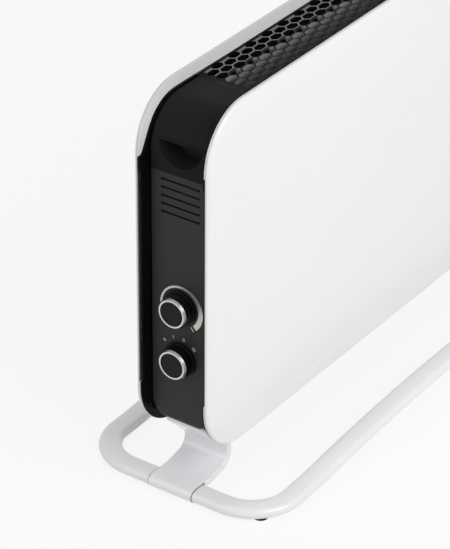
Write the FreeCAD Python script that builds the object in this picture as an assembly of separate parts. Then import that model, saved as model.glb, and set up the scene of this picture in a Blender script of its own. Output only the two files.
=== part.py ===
import FreeCAD, Part
import math
import os

# Convector heater on a tube ring base. Millimetres.
# X runs along the casing from the control end (-X), the front faces -Y, Z is up and the floor is at 0.

# White shells
casing_length = 660.0
casing_height = 377.0
ground_clearance = 53.0
rim_half_gap = 39.0
casing_corner = 59.0
sheet = 1.2
edge_roll = 3.7
crown_roll = 86.0
edge_turn = 75.0
flange_width = 7.4
flange_middle_width = 13.6
flange_taper_start = 79.0
flange_taper_end = 145.0
flange_top_width = 12.4
flange_top_slant = 31.2
flange_top_tip = 5.0
flange_top_tail = 2.0
flange_bottom_tail = 7.0
flange_end_round = 5.0

# Black core between the shells
end_inset = 15.0
cap_lift = 21.5
core_drop = 14.0
core_side_gap = 0.4
skin = 2.5
liner = 1.2
liner_gap = 0.3
core_corner = 45.0
handle_drop = 77.1
handle_reach = 77.7
handle_roll = 4.0
handle_wall = 9.0
finger_radius = 25.0
finger_drop = 44.1
finger_draft = 4.0
grille_depth = 12.0
grille_rim = 3.0
vent_depth = 3.0
vent_start = 13.5
grille_seam = 0.4
ledge_reach = 7.0
cell_pitch_x = 28.0
cell_pitch_y = 10.6
cell_wall = 1.8

# End caps and the liner frames round them
cap_half_width = 33.9
cap_corner = 25.0
cap_roll = 8.5
cap_edge = 1.0
cap_depth = 12.0
cap_seam = 0.4
frame_edge = 2.5
frame_tab = 14.0
frame_bottom_gap = 1.0
frame_bottom_tail = 5.0
frame_nudge = 0.2
frame_top_gap = 1.0
frame_foot_round = 2.0
frame_step = 1.6
frame_step_lead = 4.0
frame_step_end = 10.0
window_margin = 8.25
window_sill = 26.0
slot_count = 5
slot_width = 45.0
slot_height = 2.1
slot_end = 3.0
slot_pitch = 8.75
slot_drop = 8.2

# Steel carcass
end_plate_setback = 22.75
plate = 1.5
plate_half_width = 35.0
plate_corner = 4.0
plate_head_gap = 18.0
ear_margin = 57.0
ear_depth = 17.0
tray_lift = 26.5
tray_half_width = 36.0
tray_wall = 8.0
tray_slot_length = 26.0
tray_slot_width = 5.0
tray_slot_pitch_x = 34.0
tray_slot_pitch_y = 14.0
partition_inset = 13.3
partition = 1.2
shield = 0.8
shield_half_gap = 32.0
shield_lip_gap = 0.5

# Heating elements
element_drop = 44.0
element_spacing = 50.0
element_rod = 8.0
element_hub = 14.0
fin_length = 46.0
fin_thickness = 2.0
fin_angle = 35.0
fin_end_gap = 6.0
rod_overhang = 9.0
bush_bore_gap = 0.1
bush_body = 12.0
bush_flange = 18.0
bush_flange_thickness = 3.0
bush_nose = 5.0

# Controls
selector_rise = 77.3
control_pitch = 58.1
shaft = 6.0
shaft_flat = 4.5
running_gap = 0.05
bushing = 9.5
bushing_reach = 8.0
bushing_hole_gap = 0.15
nut_thickness = 3.0
nut_flats = 14.0
thermostat_size = 36.0
thermostat_length = 26.0
selector_width = 30.0
selector_height = 40.0
selector_length = 30.0
shaft_hole = 9.0
knob_gap = 0.8
knob_skirt = 37.0
knob_skirt_height = 2.6
knob_base = 33.2
knob_top = 32.2
knob_height = 13.0
knob_wall = 1.6
knob_hub = 11.0
knob_head = 2.5
knob_edge = 0.7
shaft_seat = 0.3
ring_height = 2.1
ring_bevel = 1.3
disc = 26.0
disc_height = 1.4
scale_radius = 25.0
scale_inner = 21.2
scale_shift = 1.3
scale_drop = 1.2
scale_start = -128.0
scale_end = 136.0
scale_thickness = 0.25
scale_bar_angle = 144.5
scale_bar_start = 21.4
scale_bar_length = 5.2
scale_bar_width = 0.9
cutout = 17.0
cutout_height = 9.0
cutout_drop = 83.6
block_length = 36.0
block_width = 20.0
block_height = 16.0
block_offset = -17.0
terminal_count = 3
wire = 2.6
wire_bend = 7.0
wire_bend_room = 0.95
wire_hole = 7.0
wire_lift = 6.0
well_depth = 6.0
well_bore = 5.0
blade_length = 7.0
blade_width = 6.0
blade_thickness = 0.8
blade_offset = 3.4
gland_offset = 20.0
gland_neck = 12.0
gland_collar = 18.0
gland_bore = 8.0
gland_collar_height = 3.0
gland_nut_height = 5.0
gland_neck_end = 1.0

# Base ring, brackets and feet
tube_width = 24.0
tube_height = 13.0
tube_wall = 1.5
tube_crown = 0.6
tube_flank = 5.0
ring_half_depth = 105.0
ring_inset = 7.7
ring_bend = 47.0
rail_rise = 12.0
rail_lead = 60.0
pad_height = 2.0
pad_diameter = 16.0
bracket_half_width = 26.5
bracket_plate = 7.5
bracket_proud = 0.7
bracket_seam_edge = 0.5
bracket_leg_run = 22.0
bracket_slope = 0.19
bracket_bend = 15.5
bracket_back = 70.9
bracket_foot_bend = 30.0
bracket_edge = 1.8
tab_nose = 27.0
tab_reach = 68.0
tab_lift = 17.5
tab_round = 3.4
spigot_length = 20.0
spigot_gap = 0.15

# Fasteners
screw = 4.0
screw_head = 8.0
screw_head_height = 2.6
screw_gap = 0.1
socket_depth_share = 0.6
socket_width_share = 0.4
cap_screw_length = 12.0
boss = 7.0
boss_offset = 20.0
boss_low = 33.0
boss_high = 206.0
handle_boss = 6.0
handle_boss_offset = 31.5
handle_boss_drop = 60.0
rear_screw_length = 9.0
stud_length = 9.0
stud_low = 40.0
stud_high = 200.0
panel_nut_height = 4.0
panel_nut = 8.0
bracket_screw = 5.0
bracket_screw_offset = 14.0
bracket_screw_head = 9.0
bracket_screw_head_height = 3.0
bracket_screw_tip = 3.0
rail_screw_length = 6.0
rail_screw_sink = 0.3
rail_socket = 2.0
rail_socket_depth = 2.0

# How far a cut runs past the face that it opens, and how closely two positions must agree
overshoot = 1.0
tolerance = 0.01

# Positions that follow from the sizes above
right = casing_length / 2
left = -right
bottom = ground_clearance
top = ground_clearance + casing_height
turn = math.radians(edge_turn)
crown_inset = edge_roll * (1 - math.cos(turn)) + crown_roll * math.cos(turn)
crown_depth = edge_roll * math.sin(turn) + crown_roll * (1 - math.sin(turn))
shell_inside = rim_half_gap + crown_depth - sheet
flange_inside = rim_half_gap - sheet
core_half_width = flange_inside - core_side_gap
core_top = top - core_drop
face_x = left + end_inset
seam_x = face_x + handle_reach
seam_z = top - handle_drop
finger_z = top - finger_drop
cap_bottom = bottom + cap_lift
cap_back = face_x + cap_depth
liner_outside = flange_inside - liner_gap
liner_inside = liner_outside - liner
handle_half_width = liner_inside - liner_gap
plate_outside = face_x + end_plate_setback
plate_inside = plate_outside + plate
ear_low = bottom + ear_margin
ear_high = top - ear_margin - screw_head
tray_bottom = bottom + tray_lift
tray_top = tray_bottom + plate
selector_z = cap_bottom + selector_rise
thermostat_z = selector_z + control_pitch
partition_outside = seam_x + partition_inset
partition_inside = partition_outside + partition
shield_top = core_top - grille_depth
element_low_z = tray_top + element_drop
tube_z = pad_height + tube_height / 2
ring_x = left + ring_inset
tab_top = bottom + tab_lift
tab_bottom = tab_top - bracket_plate
stud_x = plate_outside + ear_depth / 2
boss_heights = (cap_bottom + boss_low, cap_bottom + boss_high)
stud_heights = (ear_low + stud_low, ear_low + stud_high)
screw_hole = screw + 2 * screw_gap
bracket_hole = bracket_screw + 2 * screw_gap
flange_top_run = casing_corner + flange_top_tail
flange_bottom_run = casing_corner + flange_bottom_tail
flange_end = top - flange_top_run
frame_top = top - flange_top_width - frame_top_gap
handle_boss_z = top - handle_boss_drop
gland_x = (plate_inside + partition_outside) / 2
gland_low = tray_bottom - gland_collar_height
block_x = gland_x - block_length / 2
well_z = tray_top + block_height - well_depth
wire_z = tray_top + wire_lift
shaft_inner = plate_inside + thermostat_length / 2
knob_base_x = face_x - knob_gap
knob_top_x = face_x - knob_height
rod_end = partition_outside - bush_nose - rod_overhang
element_heights = (element_low_z, element_low_z + element_spacing)
x_axis = FreeCAD.Vector(1, 0, 0)
y_axis = FreeCAD.Vector(0, 1, 0)
z_axis = FreeCAD.Vector(0, 0, 1)


def vec(x, y, z):
    return FreeCAD.Vector(x, y, z)


def in_xz(y):
    return lambda u, v: vec(u, y, v)


def in_yz(x):
    return lambda u, v: vec(x, u, v)


def in_xy(z):
    return lambda u, v: vec(u, v, z)


def box(x0, x1, y0, y1, z0, z1):
    return Part.makeBox(x1 - x0, y1 - y0, z1 - z0, vec(x0, y0, z0))


def rod(start, axis, length, diameter):
    return Part.makeCylinder(diameter / 2, length, start, axis)


def hole(start, axis, depth, diameter):
    """Cutting cylinder that runs a little past both ends of its depth."""
    return rod(start - axis * overshoot, axis, depth + 2 * overshoot, diameter)


def fuse(solids):
    """One solid from touching solids, with seams inside one surface removed."""
    return solids[0].multiFuse(solids[1:]).removeSplitter()


def both_sides(solids):
    """The solids with their mirror images across the casing's long middle plane."""
    return solids + [s.mirror(vec(0, 0, 0), y_axis) for s in solids]


def mirrored(shape):
    """Twin of a piece at the casing's other end."""
    return shape.mirror(vec(0, 0, 0), x_axis)


def rounded_edges(points):
    """Line and arc edges round a closed run of (point, radius) corners."""
    starts = []
    arcs = []
    count = len(points)
    for i, (corner, radius) in enumerate(points):
        back = (points[i - 1][0] - corner).normalize()
        ahead = (points[(i + 1) % count][0] - corner).normalize()
        half = back.getAngle(ahead) / 2
        reach = radius / math.tan(half) if radius else 0
        enter = corner + back * reach
        leave = corner + ahead * reach
        starts.append((enter, leave))
        if radius:
            middle = (back + ahead).normalize()
            crest = corner + middle * (radius / math.sin(half) - radius)
            arcs.append(Part.Arc(enter, crest, leave).toShape())
        else:
            arcs.append(None)
    edges = []
    for i in range(count):
        if arcs[i]:
            edges.append(arcs[i])
        a = starts[i][1]
        b = starts[(i + 1) % count][0]
        if a.distanceToPoint(b) > 1e-6:
            edges.append(Part.LineSegment(a, b).toShape())
    return edges


def outline(corners, place):
    """Flat face inside (u, v, radius) corners, set in space by place."""
    points = [(place(u, v), radius) for u, v, radius in corners]
    return Part.Face(Part.Wire(rounded_edges(points)))


def prism(corners, place, along):
    return outline(corners, place).extrude(along)


def rectangle(u0, u1, v0, v1, radius=0):
    return [(u0, v0, radius), (u1, v0, radius), (u1, v1, radius), (u0, v1, radius)]


def strip(points, thickness, place, along):
    """Bent plate of even thickness along an open run of (u, v, radius) points."""
    half = thickness / 2
    sides = {1: [], -1: []}
    for i, (u, v, radius) in enumerate(points):
        here = vec(u, v, 0)
        before = vec(*points[i - 1][:2], 0) if i else None
        after = vec(*points[i + 1][:2], 0) if i + 1 < len(points) else None
        into = (here - before).normalize() if before else (after - here).normalize()
        out = (after - here).normalize() if after else into
        normal = (vec(-into.y, into.x, 0) + vec(-out.y, out.x, 0)).normalize()
        spread = half / normal.dot(vec(-into.y, into.x, 0))
        bends_left = into.cross(out).z > 0
        for side in sides:
            tight = bends_left == (side > 0)
            bent = radius + (-half if tight else half) if radius else 0
            at = here + normal * (spread * side)
            sides[side].append((at.x, at.y, bent))
    return prism(sides[1] + sides[-1][::-1], place, along)


def swept(face, moves):
    """Solids left by a face that follows straight moves and turns one after another."""
    solids = []
    for move in moves:
        if len(move) == 1:
            solids.append(face.extrude(move[0]))
            face = face.translated(move[0])
        else:
            centre, axis, angle = move
            solids.append(face.revolve(centre, axis, angle))
            face = face.rotated(centre, axis, angle)
    return solids


def shell_section(side):
    """Section of the rolled edge, where the right-hand side's straight run begins."""
    inner_roll = edge_roll - sheet
    inner_crown = crown_roll - sheet
    roll_centre = (edge_roll, 0)
    crown_centre = (
        edge_roll + (crown_roll - edge_roll) * math.cos(turn),
        (edge_roll - crown_roll) * math.sin(turn),
    )

    def at(centre, radius, angle):
        inset = centre[0] - radius * math.cos(angle)
        depth = centre[1] + radius * math.sin(angle)
        return vec(right - inset, side * (rim_half_gap + depth), bottom + casing_corner)

    def arc(centre, radius, a, b):
        ends = [at(centre, radius, angle) for angle in (a, (a + b) / 2, b)]
        return Part.Arc(*ends).toShape()

    crest = math.pi / 2
    crest_ends = [at(crown_centre, radius, crest) for radius in (crown_roll, inner_crown)]
    rim_ends = [at(roll_centre, radius, 0) for radius in (inner_roll, edge_roll)]
    edges = [
        arc(roll_centre, edge_roll, 0, turn),
        arc(crown_centre, crown_roll, turn, crest),
        Part.LineSegment(*crest_ends).toShape(),
        arc(crown_centre, inner_crown, crest, turn),
        arc(roll_centre, inner_roll, turn, 0),
        Part.LineSegment(*rim_ends).toShape(),
    ]
    return Part.Face(Part.Wire(edges))


def return_flange(side, edge, inward, run, width, slant, tip):
    """Flange folded in along the top or the bottom, deeper in the middle, with rounded ends on the sides.
    Round each corner its inner edge runs from tip at the end to slant at the full width."""
    end = edge + inward * run
    inner = casing_corner - width
    level = edge + inward * width
    deep = edge + inward * flange_middle_width
    corners = [
        (left, end, 0),
        (left, edge, casing_corner),
        (right, edge, casing_corner),
        (right, end, 0),
        (right - tip, end, flange_end_round),
        (right - slant, level, inner),
        (right - flange_taper_start, level, 0),
        (right - flange_taper_end, deep, 0),
        (left + flange_taper_end, deep, 0),
        (left + flange_taper_start, level, 0),
        (left + slant, level, inner),
        (left + tip, end, flange_end_round),
    ]
    return prism(corners, in_xz(side * flange_inside), vec(0, side * sheet, 0))


def shell(side):
    """Pressed steel shell: crowned face, rolled edge and return flanges. side is -1 at the front."""
    long_run = casing_length - 2 * casing_corner
    tall_run = casing_height - 2 * casing_corner
    corner_x = right - casing_corner
    low = bottom + casing_corner
    high = top - casing_corner
    axis = vec(0, -1, 0)
    moves = [
        (vec(0, 0, tall_run),),
        (vec(corner_x, 0, high), axis, 90),
        (vec(-long_run, 0, 0),),
        (vec(-corner_x, 0, high), axis, 90),
        (vec(0, 0, -tall_run),),
        (vec(-corner_x, 0, low), axis, 90),
        (vec(long_run, 0, 0),),
        (vec(corner_x, 0, low), axis, 90),
    ]
    field = rectangle(
        left + crown_inset,
        right - crown_inset,
        bottom + crown_inset,
        top - crown_inset,
        casing_corner - crown_inset,
    )
    solids = swept(shell_section(side), moves)
    solids.append(prism(field, in_xz(side * shell_inside), vec(0, side * sheet, 0)))
    upper = (flange_top_run, flange_top_width, flange_top_slant, flange_top_tip)
    lower = (flange_bottom_run, flange_width, flange_width, flange_width)
    solids.append(return_flange(side, top, -1, *upper))
    solids.append(return_flange(side, bottom, 1, *lower))
    return fuse(solids)


def ear_points():
    return [(sx * stud_x, z) for sx in (1, -1) for z in stud_heights]


def front_panel():
    """Front shell with the studs that hold it welded to its inside."""
    studs = [rod(vec(x, -shell_inside, z), y_axis, stud_length, screw) for x, z in ear_points()]
    return fuse([shell(-1)] + studs)


def rear_panel():
    """Rear shell, drilled for the screws that hold it."""
    holes = [hole(vec(x, shell_inside, z), y_axis, sheet, screw_hole) for x, z in ear_points()]
    return shell(1).cut(holes)


def hexagon(x, y, z):
    """One outlet cell, drawn in by half a wall from the cell pattern's lines."""
    half_x = cell_pitch_x / 3
    half_y = cell_pitch_y / 2
    slant = math.hypot(half_x / 2, half_y)
    draw_in = cell_wall / 2
    tip = half_x - draw_in * slant / half_y
    side = half_y - draw_in
    shoulder = tip - side / half_y * half_x / 2
    half = [(tip, 0), (shoulder, side), (-shoulder, side)]
    shape = half + [(-u, -v) for u, v in half]
    points = [vec(x + u, y + v, z) for u, v in shape]
    return Part.makePolygon(points + points[:1])


def top_grille():
    """Honeycomb outlet: columns of long cells, every other column moved by half a cell.
    The cells are shallow along the rear, where the air rises straight out."""
    end = -seam_x - grille_seam
    z = core_top - grille_depth
    column = cell_pitch_x / 2
    reach = cell_pitch_x / 3 + cell_wall / 2
    steps = int((end - reach) / column)
    rows = int(2 * core_half_width / cell_pitch_y)
    half = core_half_width
    edge = [vec(u, v, z) for u, v in ((-end, -half), (end, -half), (end, half), (-end, half))]
    wires = [Part.makePolygon(edge + edge[:1])]
    for i in range(-steps, steps + 1):
        count = rows - (steps - i + 1) % 2
        for j in range(count):
            wires.append(hexagon(i * column, (j - (count - 1) / 2) * cell_pitch_y, z))
    comb = Part.Face(wires, "Part::FaceMakerBullseye").extrude(z_axis * grille_depth)
    relief_end = end - grille_rim
    relief = box(-relief_end, relief_end, vent_start, half - grille_rim, z - overshoot, core_top - vent_depth)
    return comb.cut(relief)


def half_disc(grow):
    """Finger recess outline, grown all round: flat along the top, half round below."""
    size = finger_radius + grow
    level = finger_z + grow
    a = vec(0, -size, level)
    b = vec(0, size, level)
    arc = Part.Arc(a, vec(0, 0, finger_z - size), b).toShape()
    return Part.Wire([arc, Part.LineSegment(b, a).toShape()])


def recess_plug(start, end, grow):
    """Room of the finger recess between two depths, narrower inwards by the mould's draft."""
    mouth = half_disc(grow).translated(vec(start, 0, 0))
    back = half_disc(grow - finger_draft).translated(vec(end, 0, 0))
    return Part.makeLoft([mouth, back], True, True)


def corner_band(start, end, half):
    """Band that follows the corner moulding between two depths under its outside."""
    corners = [
        (seam_x, core_top - start, 0),
        (face_x + start, core_top - start, core_corner - start),
        (face_x + start, seam_z, 0),
        (face_x + end, seam_z, 0),
        (face_x + end, core_top - end, core_corner - end),
        (seam_x, core_top - end, 0),
    ]
    return prism(corners, in_xz(-half), vec(0, 2 * half, 0))


def rolled_band(start, end, half, roll):
    """The band with its two long outer edges rolled over."""
    band = corner_band(start, end, half)
    rims = []
    for edge in band.Edges:
        points = [v.Point for v in edge.Vertexes]
        along_corner = edge.BoundBox.YLength < tolerance
        depths = [min(p.x - face_x, core_top - p.z) for p in points]
        if along_corner and max(depths) < start + tolerance:
            rims.append(edge)
    return band.makeFillet(roll, rims)


def corner_handle():
    """Corner moulding with a finger recess, and a ledge under the grille's end."""
    hollow_half = handle_half_width - skin
    shell_block = rolled_band(0, handle_wall, handle_half_width, handle_roll)
    hollow = rolled_band(skin, handle_wall + overshoot, hollow_half, handle_roll - skin)
    ledge_z = core_top - grille_depth
    hook = [
        (seam_x - skin, core_top - skin, 0),
        (seam_x, core_top - skin, 0),
        (seam_x, ledge_z, 0),
        (seam_x + ledge_reach, ledge_z, 0),
        (seam_x + ledge_reach, ledge_z - skin, 0),
        (seam_x - skin, ledge_z - skin, 0),
    ]
    solids = [
        shell_block.cut(hollow),
        prism(hook, in_xz(-hollow_half), vec(0, 2 * hollow_half, 0)),
        recess_plug(face_x + skin / 2, plate_outside, liner),
    ]
    boss_x = face_x + handle_wall / 2
    for y in (-handle_boss_offset, handle_boss_offset):
        solids.append(rod(vec(boss_x, y, handle_boss_z), x_axis, plate_outside - boss_x, handle_boss))
    body = fuse(solids)
    cuts = [recess_plug(face_x - overshoot, plate_outside - liner, 0)]
    for y in (-handle_boss_offset, handle_boss_offset):
        start = vec(plate_outside, y, handle_boss_z)
        cuts.append(rod(start, -x_axis, cap_screw_length - plate, screw_hole))
    return body.cut(cuts)


def cap_front(grow):
    """End cap's outline as seen from the end, grown all round."""
    half = cap_half_width + grow
    low = cap_bottom - grow
    corners = rectangle(-half, half, low, seam_z)
    corners[0] = (-half, low, cap_corner + grow)
    corners[1] = (half, low, cap_corner + grow)
    return corners


def cap_block(grow):
    """Solid end cap, rolled in along its lower edge. A negative grow gives its inside."""
    back = cap_back - grow
    head = seam_z - cap_seam + grow
    profile = [
        (face_x - grow, cap_bottom - grow, cap_roll + grow),
        (back, cap_bottom - grow, 0),
        (back, head, 0),
        (face_x - grow, head, 0),
    ]
    half = cap_half_width + grow
    plan = rectangle(face_x - grow, back, -half, half)
    plan[0] = (face_x - grow, -half, cap_edge)
    plan[3] = (face_x - grow, half, cap_edge)
    slab = prism(profile, in_xz(-half), vec(0, 2 * half, 0))
    slab = slab.common(prism(cap_front(grow), in_yz(face_x - grow), vec(back - face_x + grow, 0, 0)))
    return slab.common(prism(plan, in_xy(cap_bottom - grow), vec(0, 0, head - cap_bottom + grow)))


def slot_cuts():
    """Thin vent slots with slightly wider round ends."""
    cuts = []
    start = face_x - overshoot
    end = face_x + skin + overshoot
    half = (slot_width - slot_end) / 2
    for i in range(slot_count):
        z = seam_z - slot_drop - i * slot_pitch
        cuts.append(box(start, end, -half, half, z - slot_height / 2, z + slot_height / 2))
        for y in (-half, half):
            cuts.append(hole(vec(face_x, y, z), x_axis, skin, slot_end))
    return cuts


def boss_points():
    return [(y, z) for y in (-boss_offset, boss_offset) for z in boss_heights]


def end_cap(control_heights):
    """Flat moulded end cap with slots, screw bosses and a hole for each control shaft."""
    body = cap_block(0).cut(cap_block(-skin))
    start_x = face_x + skin / 2
    bosses = [rod(vec(start_x, y, z), x_axis, plate_outside - start_x, boss) for y, z in boss_points()]
    body = fuse([body] + bosses)
    cuts = slot_cuts()
    for z in control_heights:
        cuts.append(hole(vec(face_x, 0, z), x_axis, skin, shaft_hole))
    for y, z in boss_points():
        cuts.append(rod(vec(plate_outside, y, z), -x_axis, cap_screw_length - plate, screw_hole))
    return body.cut(cuts)


def end_frame():
    """Liner frame: a cheek along each shell's edge and a floor that the cap's rim seats on."""
    edge = left + frame_nudge
    set_back = left + frame_edge
    tab_low = flange_end - frame_tab
    low_edge = bottom + flange_bottom_run
    foot = bottom + frame_bottom_gap
    foot_end = left + casing_corner + frame_bottom_tail
    slant_x = left + flange_top_slant + frame_top_gap
    head_x = left + flange_top_tip + frame_top_gap
    head_z = flange_end - frame_top_gap
    under_handle = core_top - handle_wall
    cheek = [
        (plate_outside, under_handle, 0),
        (seam_x - frame_top_gap, under_handle, 0),
        (seam_x - frame_top_gap, frame_top, 0),
        (slant_x, frame_top, casing_corner - flange_top_width - frame_top_gap),
        (head_x, head_z, flange_end_round + frame_top_gap),
        (edge, head_z, 0),
        (edge, tab_low, 0),
        (set_back, tab_low, 0),
        (set_back, low_edge, 0),
        (edge, low_edge, 0),
        (edge, foot, casing_corner - frame_bottom_gap),
        (foot_end, foot, frame_foot_round),
        (foot_end, cap_bottom, 0),
        (plate_outside, cap_bottom, 0),
    ]
    floor_back = cap_back + liner
    step_start = face_x - frame_step_lead
    step_run = vec(cap_back - step_start, 0, 0)
    step_outside = liner_inside - cap_half_width
    step = prism(cap_front(step_outside), in_yz(step_start), step_run)
    step = step.cut([
        prism(cap_front(step_outside - frame_step), in_yz(step_start), step_run),
        box(step_start, cap_back, -liner_inside, liner_inside, bottom, cap_bottom + frame_step_end),
    ])
    cheek_plate = prism(cheek, in_xz(liner_inside), vec(0, liner, 0))
    floor = box(cap_back, floor_back, -liner_inside, liner_inside, cap_bottom, seam_z - cap_seam)
    half = cap_half_width - window_margin
    window = box(cap_back - overshoot, floor_back + overshoot, -half, half,
                 cap_bottom + window_sill, seam_z - skin - cap_seam)
    return fuse(both_sides([cheek_plate]) + [step, floor.cut(window)])


def end_plate(control_heights):
    """Bent steel end plate: ears for the shells and a foot for the bracket."""
    ear_out = shell_inside
    head = core_top - plate_head_gap
    half = plate_half_width
    shape = [
        (-half, tab_top, 0),
        (half, tab_top, 0),
        (half, ear_low, 0),
        (ear_out, ear_low, 0),
        (ear_out, ear_high, 0),
        (half, ear_high, 0),
        (half, head, plate_corner),
        (-half, head, plate_corner),
        (-half, ear_high, 0),
        (-ear_out, ear_high, 0),
        (-ear_out, ear_low, 0),
        (-half, ear_low, 0),
    ]
    foot_x = left + tab_reach
    ear_x = plate_outside + ear_depth
    ears = both_sides([box(plate_outside, ear_x, ear_out - plate, ear_out, ear_low, ear_high)])
    foot = box(plate_outside, foot_x, -bracket_half_width, bracket_half_width, tab_top, tab_top + plate)
    body = fuse([prism(shape, in_yz(plate_outside), vec(plate, 0, 0)), foot] + ears)
    cuts = []
    for y, z in boss_points():
        cuts.append(hole(vec(plate_outside, y, z), x_axis, plate, screw_hole))
    for y in (-handle_boss_offset, handle_boss_offset):
        cuts.append(hole(vec(plate_outside, y, handle_boss_z), x_axis, plate, screw_hole))
    for z in control_heights:
        cuts.append(hole(vec(plate_outside, 0, z), x_axis, plate, bushing + 2 * bushing_hole_gap))
    for z in stud_heights:
        cuts.append(hole(vec(stud_x, -ear_out, z), y_axis, 2 * ear_out, screw_hole))
    for x, y in bracket_screw_points():
        cuts.append(hole(vec(x, y, tab_top), z_axis, plate, bracket_hole))
    return body.cut(cuts)


def inlet_tray():
    """Slotted bottom of the air duct, hung between the end plates."""
    end = -plate_inside
    half = tray_half_width
    z = tray_bottom
    edge = [vec(u, v, z) for u, v in ((-end, -half), (end, -half), (end, half), (-end, half))]
    wires = [Part.makePolygon(edge + edge[:1])]
    slot_end_x = -partition_inside - tray_slot_pitch_x / 2
    columns = int(2 * slot_end_x / tray_slot_pitch_x)
    rows = int(2 * (half - tray_slot_width) / tray_slot_pitch_y)
    reach = tray_slot_length / 2
    end_round = tray_slot_width / 2
    for i in range(columns):
        x = (i - (columns - 1) / 2) * tray_slot_pitch_x
        for j in range(rows):
            y = (j - (rows - 1) / 2) * tray_slot_pitch_y
            slot = rectangle(x - reach, x + reach, y - end_round, y + end_round, end_round)
            wires.append(Part.Wire(rounded_edges([(vec(u, v, z), r) for u, v, r in slot])))
    floor = Part.Face(wires, "Part::FaceMakerBullseye").extrude(vec(0, 0, plate))
    walls = both_sides([box(-end, end, half - plate, half, tray_bottom, tray_bottom + tray_wall)])
    gland_hole = hole(vec(gland_x, gland_offset, z), z_axis, plate, gland_neck + 2 * screw_gap)
    return fuse([floor] + walls).cut(gland_hole)


def duct_partition():
    """End wall of the hot duct, with holes for the element bushes."""
    half = tray_half_width - plate
    wall = box(partition_outside, partition_inside, -half, half, tray_top, shield_top - skin)
    bush_hole = bush_body + 2 * bush_bore_gap
    holes = [hole(vec(partition_outside, 0, z), x_axis, partition, bush_hole) for z in element_heights]
    wire_start = vec(partition_outside, block_offset, wire_z)
    holes.append(hole(wire_start, x_axis, partition, wire_hole))
    return wall.cut(holes)


def heat_shield(side):
    """Thin wall of the hot duct, folded out under the grille's edge."""
    end = -partition_inside
    lip = core_half_width - shield_lip_gap
    y = sorted((side * shield_half_gap, side * (shield_half_gap + shield)))
    wall = box(-end, end, y[0], y[1], tray_top, shield_top)
    y = sorted((side * shield_half_gap, side * lip))
    return fuse([wall, box(-end, end, y[0], y[1], shield_top - shield, shield_top)])


def element_fins(z):
    """Crossed aluminium fins pressed round the element's rod."""
    start = partition_inside + bush_flange_thickness + fin_end_gap
    run = -2 * start
    half = fin_thickness / 2
    blade = box(start, start + run, -fin_length / 2, fin_length / 2, z - half, z + half)
    blades = [blade.rotated(vec(0, 0, z), x_axis, angle) for angle in (fin_angle, -fin_angle)]
    hub = rod(vec(start, 0, z), x_axis, run, element_hub)
    bore = hole(vec(start, 0, z), x_axis, run, element_rod + 2 * bush_bore_gap)
    return fuse(blades + [hub]).cut(bore)


def element_core(z):
    return rod(vec(rod_end, 0, z), x_axis, -2 * rod_end, element_rod)


def element_bushes():
    """Ceramic bushes that hold both rods in the partitions."""
    bushes = []
    nose_run = bush_nose + partition
    for z in element_heights:
        start = vec(partition_outside - bush_nose, 0, z)
        nose = rod(start, x_axis, nose_run, bush_body)
        collar = rod(vec(partition_inside, 0, z), x_axis, bush_flange_thickness, bush_flange)
        bore = hole(start, x_axis, nose_run + bush_flange_thickness, element_rod + 2 * bush_bore_gap)
        bush = fuse([nose, collar]).cut(bore)
        bushes += [bush, mirrored(bush)]
    return Part.makeCompound(bushes)


def control_body(z, length, half_y, half_z):
    """Control block behind the end plate, with a threaded bushing through it for the shaft."""
    body = box(plate_inside, plate_inside + length, -half_y, half_y, z - half_z, z + half_z)
    neck_run = plate + bushing_reach
    neck = rod(vec(plate_inside, 0, z), -x_axis, neck_run, bushing)
    bore_run = shaft_inner - plate_inside + neck_run + overshoot
    bore = rod(vec(shaft_inner, 0, z), -x_axis, bore_run, shaft + 2 * running_gap)
    return fuse([body, neck]).cut(bore)


def control_nut(z):
    start = vec(plate_outside, 0, z)
    points = []
    for i in range(7):
        angle = math.radians(60 * i)
        size = nut_flats / 2 / math.cos(math.radians(30))
        points.append(start + vec(0, size * math.cos(angle), size * math.sin(angle)))
    nut = Part.Face(Part.makePolygon(points)).extrude(x_axis * -nut_thickness)
    return nut.cut(hole(start, -x_axis, nut_thickness, bushing + 2 * screw_gap))


def shaft_solid(z, size, flat, end_x):
    """Shaft with a flat along the length that the knob grips."""
    body = rod(vec(shaft_inner, 0, z), -x_axis, shaft_inner - end_x, size)
    return body.cut(box(end_x - overshoot, knob_base_x, -size, size, z + flat, z + size))


def control_shaft(z):
    return shaft_solid(z, shaft, shaft_flat - shaft / 2, knob_top_x + knob_head + shaft_seat)


def control_knob(z):
    """Hollow knob with a stepped skirt and a hub that grips the shaft."""
    base = vec(knob_base_x, 0, z)
    run = knob_base_x - knob_top_x
    skirt = rod(base, -x_axis, knob_skirt_height, knob_skirt)
    barrel = Part.makeCone(knob_base / 2, knob_top / 2, run, base, -x_axis)
    outside = fuse([skirt, barrel])
    rim_x = knob_base_x - knob_skirt_height
    rims = [e for e in outside.Edges if abs(e.CenterOfMass.x - rim_x) < tolerance]
    outside = outside.makeFillet(knob_edge, [max(rims, key=lambda e: e.Length)])
    hollow_run = run - knob_head + overshoot
    hollow = rod(base + x_axis * overshoot, -x_axis, hollow_run, knob_top - 2 * knob_wall)
    hub = rod(base, -x_axis, run - knob_head / 2, knob_hub)
    grown = shaft + 2 * running_gap
    bore = shaft_solid(z, grown, shaft_flat - shaft / 2 + running_gap, knob_top_x + knob_head)
    return fuse([outside.cut(hollow), hub]).cut(bore)


def knob_ring(z):
    """Bevelled bright ring on the knob's rim."""
    start = vec(knob_top_x, 0, z)
    body = Part.makeCone(knob_top / 2, knob_top / 2 - ring_bevel, ring_height, start, -x_axis)
    return body.cut(hole(start, -x_axis, ring_height, disc + 2 * screw_gap))


def knob_disc(z):
    return rod(vec(knob_top_x, 0, z), -x_axis, disc_height, disc)


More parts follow.
